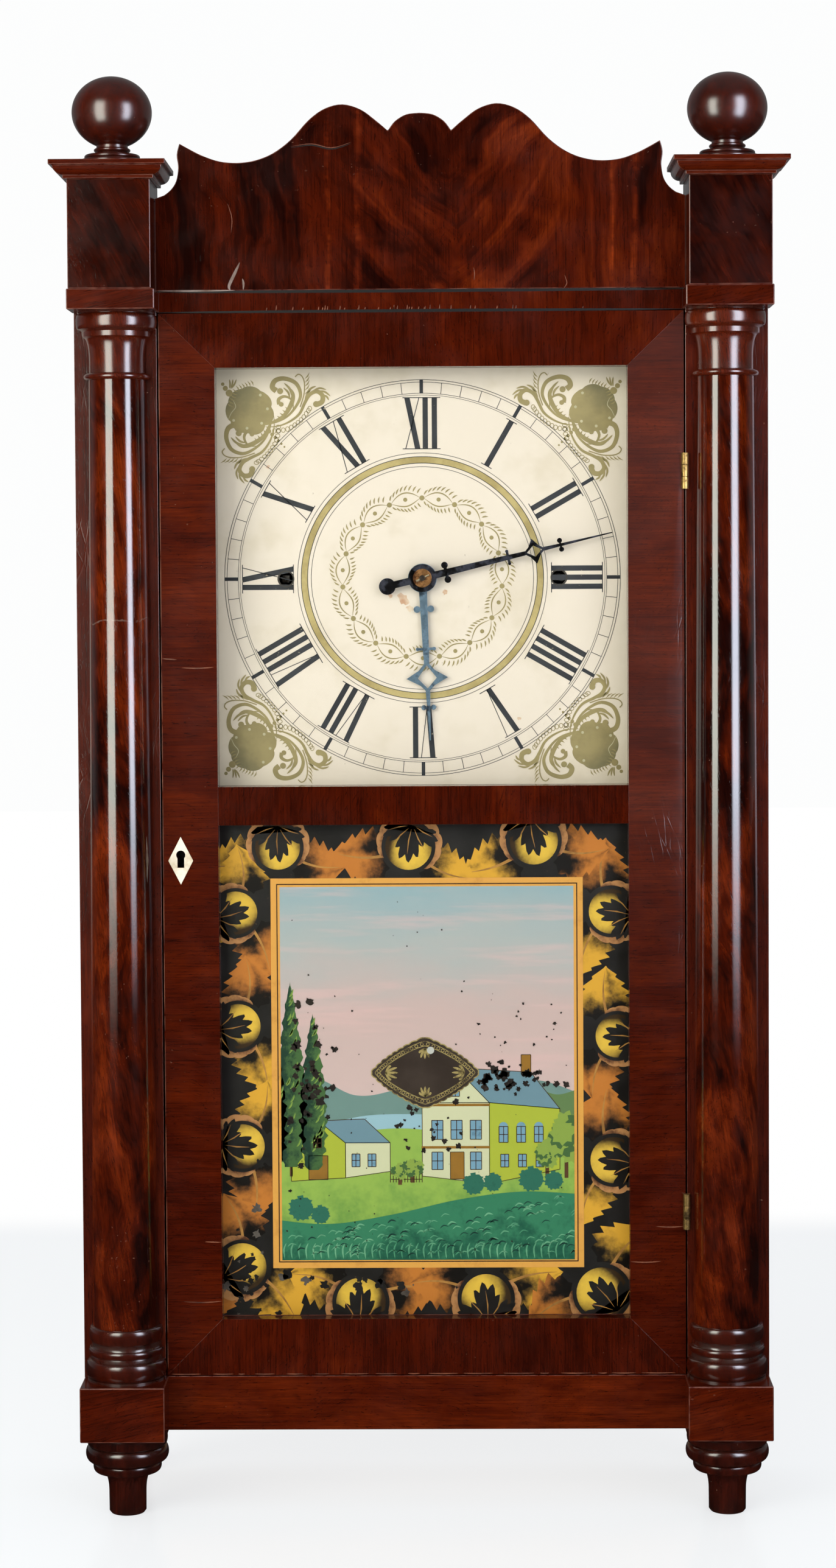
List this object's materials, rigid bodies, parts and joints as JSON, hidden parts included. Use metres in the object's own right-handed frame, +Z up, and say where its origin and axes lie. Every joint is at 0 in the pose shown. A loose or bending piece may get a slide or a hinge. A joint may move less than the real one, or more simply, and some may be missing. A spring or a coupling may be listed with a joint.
{
  "type": "shelf clock",
  "caption": "Tall wooden shelf clock with half columns, scrolled crest, ball finials and a hinged glazed door over a painted dial and weight-driven movement.",
  "frame": {"origin": "on the floor under the middle of the bounding box", "axes": "+Z up, +X towards the viewer's right as the dial is read, the dial faces -Y"},
  "size_m": [0.4466, 0.152, 0.889],
  "materials": {
    "mahogany": "gloss varnish",
    "flame_mahogany": "gloss varnish",
    "pine": "bare, aged",
    "cherry": "bare, oiled",
    "brass": "aged",
    "cast_iron": "rough",
    "iron_wire": "dull",
    "black_steel": "satin",
    "blued_steel": "satin",
    "painted_dial": "painted, aged",
    "clear_glass": "clear",
    "painted_glass": "reverse painted",
    "bone": "polished bone",
    "cord": "twisted"
  },
  "bodies": {
    "case": {"side_boards": "mahogany", "top_board": "mahogany", "bottom_board": "pine", "back_board": "pine", "front_stiles": "mahogany", "apron_rail": "mahogany", "column_blocks": "mahogany", "die_blocks": "mahogany", "cap_mouldings": "mahogany", "crest_board": "flame_mahogany", "finials": "mahogany", "column_bases": "mahogany", "column_shafts": "mahogany", "column_capitals": "mahogany", "feet": "mahogany", "hinge_case_leaves": "brass", "dial_board": "painted_dial", "dial_screws": "iron_wire", "movement_rails": "pine", "movement_plates": "cherry", "pendulum_cock": "brass", "bell": "cast_iron", "pulley_axles": "iron_wire", "cord_runs": "cord", "time_cord_drop": "cord", "strike_cord_drop": "cord"},
    "door": {"door_hinge_stile": "mahogany", "door_lock_stile": "mahogany", "door_rails": "mahogany", "dial_glass": "clear_glass", "tablet_glass": "painted_glass", "glass_strips": "pine", "keyhole_escutcheon": "bone", "lock_case": "iron_wire", "hinge_door_leaves": "brass"},
    "lock_bolt": {"lock_bolt": "brass"},
    "minute_arbor": {"minute_arbor": "cherry", "minute_hand": "black_steel"},
    "hour_wheel": {"hour_wheel": "cherry", "hour_hand": "blued_steel"},
    "minute_wheel": {"minute_wheel": "cherry"},
    "time_great_wheel": {"time_great_wheel": "cherry"},
    "time_drum": {"time_drum": "cherry"},
    "time_second_arbor": {"time_second_arbor": "cherry"},
    "time_third_arbor": {"time_third_arbor": "cherry"},
    "escape_wheel": {"escape_wheel": "brass"},
    "verge": {"verge": "iron_wire"},
    "pendulum": {"pendulum": "brass"},
    "strike_great_wheel": {"strike_great_wheel": "cherry"},
    "strike_drum": {"strike_drum": "cherry"},
    "pin_wheel": {"pin_wheel": "cherry"},
    "strike_third_arbor": {"strike_third_arbor": "cherry"},
    "fly": {"fly": "brass"},
    "count_wheel": {"count_wheel": "cherry"},
    "hammer": {"hammer": "iron_wire"},
    "strike_lever": {"strike_lever": "iron_wire"},
    "time_pulley": {"time_pulley": "cherry"},
    "strike_pulley": {"strike_pulley": "cherry"},
    "time_weight": {"time_weight": "cast_iron"},
    "strike_weight": {"strike_weight": "cast_iron"}
  },
  "joints": [
    {"name": "door_swing", "type": "hinge", "parent": "case", "child": "door", "pos_m": [0.162, -0.0375, 0.415], "axis": [0, 0, 1], "range_deg": [0, 105]},
    {"name": "bolt_throw", "type": "slide", "parent": "door", "child": "lock_bolt", "axis": [-1, 0, 0], "range_m": [0, 0.004]},
    {"name": "minute_hand_turn", "type": "hinge", "parent": "case", "child": "minute_arbor", "pos_m": [0, 0.04, 0.5815], "axis": [0, 1, 0], "continuous": true},
    {"name": "hour_hand_turn", "type": "hinge", "parent": "case", "child": "hour_wheel", "pos_m": [0, 0.04, 0.5815], "axis": [0, 1, 0], "continuous": true},
    {"name": "minute_wheel_turn", "type": "hinge", "parent": "case", "child": "minute_wheel", "pos_m": [0.01915, 0.04, 0.56543], "axis": [0, 1, 0], "continuous": true},
    {"name": "time_great_wheel_turn", "type": "hinge", "parent": "case", "child": "time_great_wheel", "pos_m": [0.0853, 0.04, 0.5815], "axis": [0, 1, 0], "continuous": true},
    {"name": "time_second_turn", "type": "hinge", "parent": "case", "child": "time_second_arbor", "pos_m": [0.03643, 0.04, 0.58997], "axis": [0, 1, 0], "continuous": true},
    {"name": "time_third_turn", "type": "hinge", "parent": "case", "child": "time_third_arbor", "pos_m": [0.01201, 0.04, 0.61456], "axis": [0, 1, 0], "continuous": true},
    {"name": "escape_wheel_turn", "type": "hinge", "parent": "case", "child": "escape_wheel", "pos_m": [-0.01799, 0.04, 0.62958], "axis": [0, 1, 0], "continuous": true},
    {"name": "pendulum_swing", "type": "hinge", "parent": "case", "child": "pendulum", "pos_m": [-0.03, 0.04, 0.656], "axis": [0, 1, 0], "range_deg": [-4, 4]},
    {"name": "verge_rock", "type": "hinge", "parent": "case", "child": "verge", "pos_m": [-0.03, 0.04, 0.656], "axis": [0, 1, 0], "range_deg": [-4, 4]},
    {"name": "pin_wheel_turn", "type": "hinge", "parent": "case", "child": "pin_wheel", "pos_m": [-0.04459, 0.04, 0.55606], "axis": [0, 1, 0], "continuous": true},
    {"name": "strike_great_wheel_turn", "type": "hinge", "parent": "case", "child": "strike_great_wheel", "pos_m": [-0.0853, 0.04, 0.5815], "axis": [0, 1, 0], "continuous": true},
    {"name": "strike_third_turn", "type": "hinge", "parent": "case", "child": "strike_third_arbor", "pos_m": [-0.02232, 0.04, 0.52952], "axis": [0, 1, 0], "continuous": true},
    {"name": "fly_turn", "type": "hinge", "parent": "case", "child": "fly", "pos_m": [0.0111, 0.04, 0.53244], "axis": [0, 1, 0], "continuous": true},
    {"name": "count_wheel_turn", "type": "hinge", "parent": "case", "child": "count_wheel", "pos_m": [-0.05116, 0.04, 0.51884], "axis": [0, 1, 0], "continuous": true},
    {"name": "hammer_lift", "type": "hinge", "parent": "case", "child": "hammer", "pos_m": [-0.078, 0.04, 0.5015], "axis": [0, 1, 0], "range_deg": [0, 12]},
    {"name": "strike_lever_lift", "type": "hinge", "parent": "case", "child": "strike_lever", "pos_m": [0.03, 0.04, 0.5095], "axis": [0, 1, 0], "range_deg": [0, 6]},
    {"name": "time_weight_fall", "type": "slide", "parent": "case", "child": "time_weight", "axis": [0, 0, -1], "range_m": [0, 0.45], "deforming": ["time_cord_drop"]},
    {"name": "time_drum_turn", "type": "hinge", "parent": "case", "child": "time_drum", "pos_m": [0.0853, 0.04, 0.5815], "axis": [0, 1, 0], "range_deg": [0, 1665]},
    {"name": "time_pulley_turn", "type": "hinge", "parent": "case", "child": "time_pulley", "pos_m": [0.154, 0.04, 0.75175], "axis": [0, 1, 0], "range_deg": [0, 1613]},
    {"name": "strike_weight_fall", "type": "slide", "parent": "case", "child": "strike_weight", "axis": [0, 0, -1], "range_m": [0, 0.45], "deforming": ["strike_cord_drop"]},
    {"name": "strike_drum_turn", "type": "hinge", "parent": "case", "child": "strike_drum", "pos_m": [-0.0853, 0.04, 0.5815], "axis": [0, 1, 0], "range_deg": [-1665, 0]},
    {"name": "strike_pulley_turn", "type": "hinge", "parent": "case", "child": "strike_pulley", "pos_m": [-0.154, 0.04, 0.75175], "axis": [0, 1, 0], "range_deg": [-1613, 0]}
  ],
  "couplings": [
    {"joint": "hour_hand_turn", "follows": "minute_hand_turn", "ratio": 0.083333},
    {"joint": "minute_wheel_turn", "follows": "minute_hand_turn", "ratio": -0.33333},
    {"joint": "time_second_turn", "follows": "minute_hand_turn", "ratio": -1.125},
    {"joint": "time_great_wheel_turn", "follows": "minute_hand_turn", "ratio": 0.16667},
    {"joint": "time_third_turn", "follows": "minute_hand_turn", "ratio": 9},
    {"joint": "escape_wheel_turn", "follows": "minute_hand_turn", "ratio": -69.429},
    {"joint": "verge_rock", "follows": "pendulum_swing", "ratio": 1},
    {"joint": "strike_great_wheel_turn", "follows": "pin_wheel_turn", "ratio": -0.15385},
    {"joint": "strike_third_turn", "follows": "pin_wheel_turn", "ratio": -8},
    {"joint": "fly_turn", "follows": "pin_wheel_turn", "ratio": 61.714},
    {"joint": "count_wheel_turn", "follows": "pin_wheel_turn", "ratio": -0.076923},
    {"joint": "time_drum_turn", "follows": "time_weight_fall", "rad_per_m": 64.516},
    {"joint": "time_pulley_turn", "follows": "time_weight_fall", "rad_per_m": 62.5},
    {"joint": "strike_drum_turn", "follows": "strike_weight_fall", "rad_per_m": -64.516},
    {"joint": "strike_pulley_turn", "follows": "strike_weight_fall", "rad_per_m": -62.5}
  ]
}
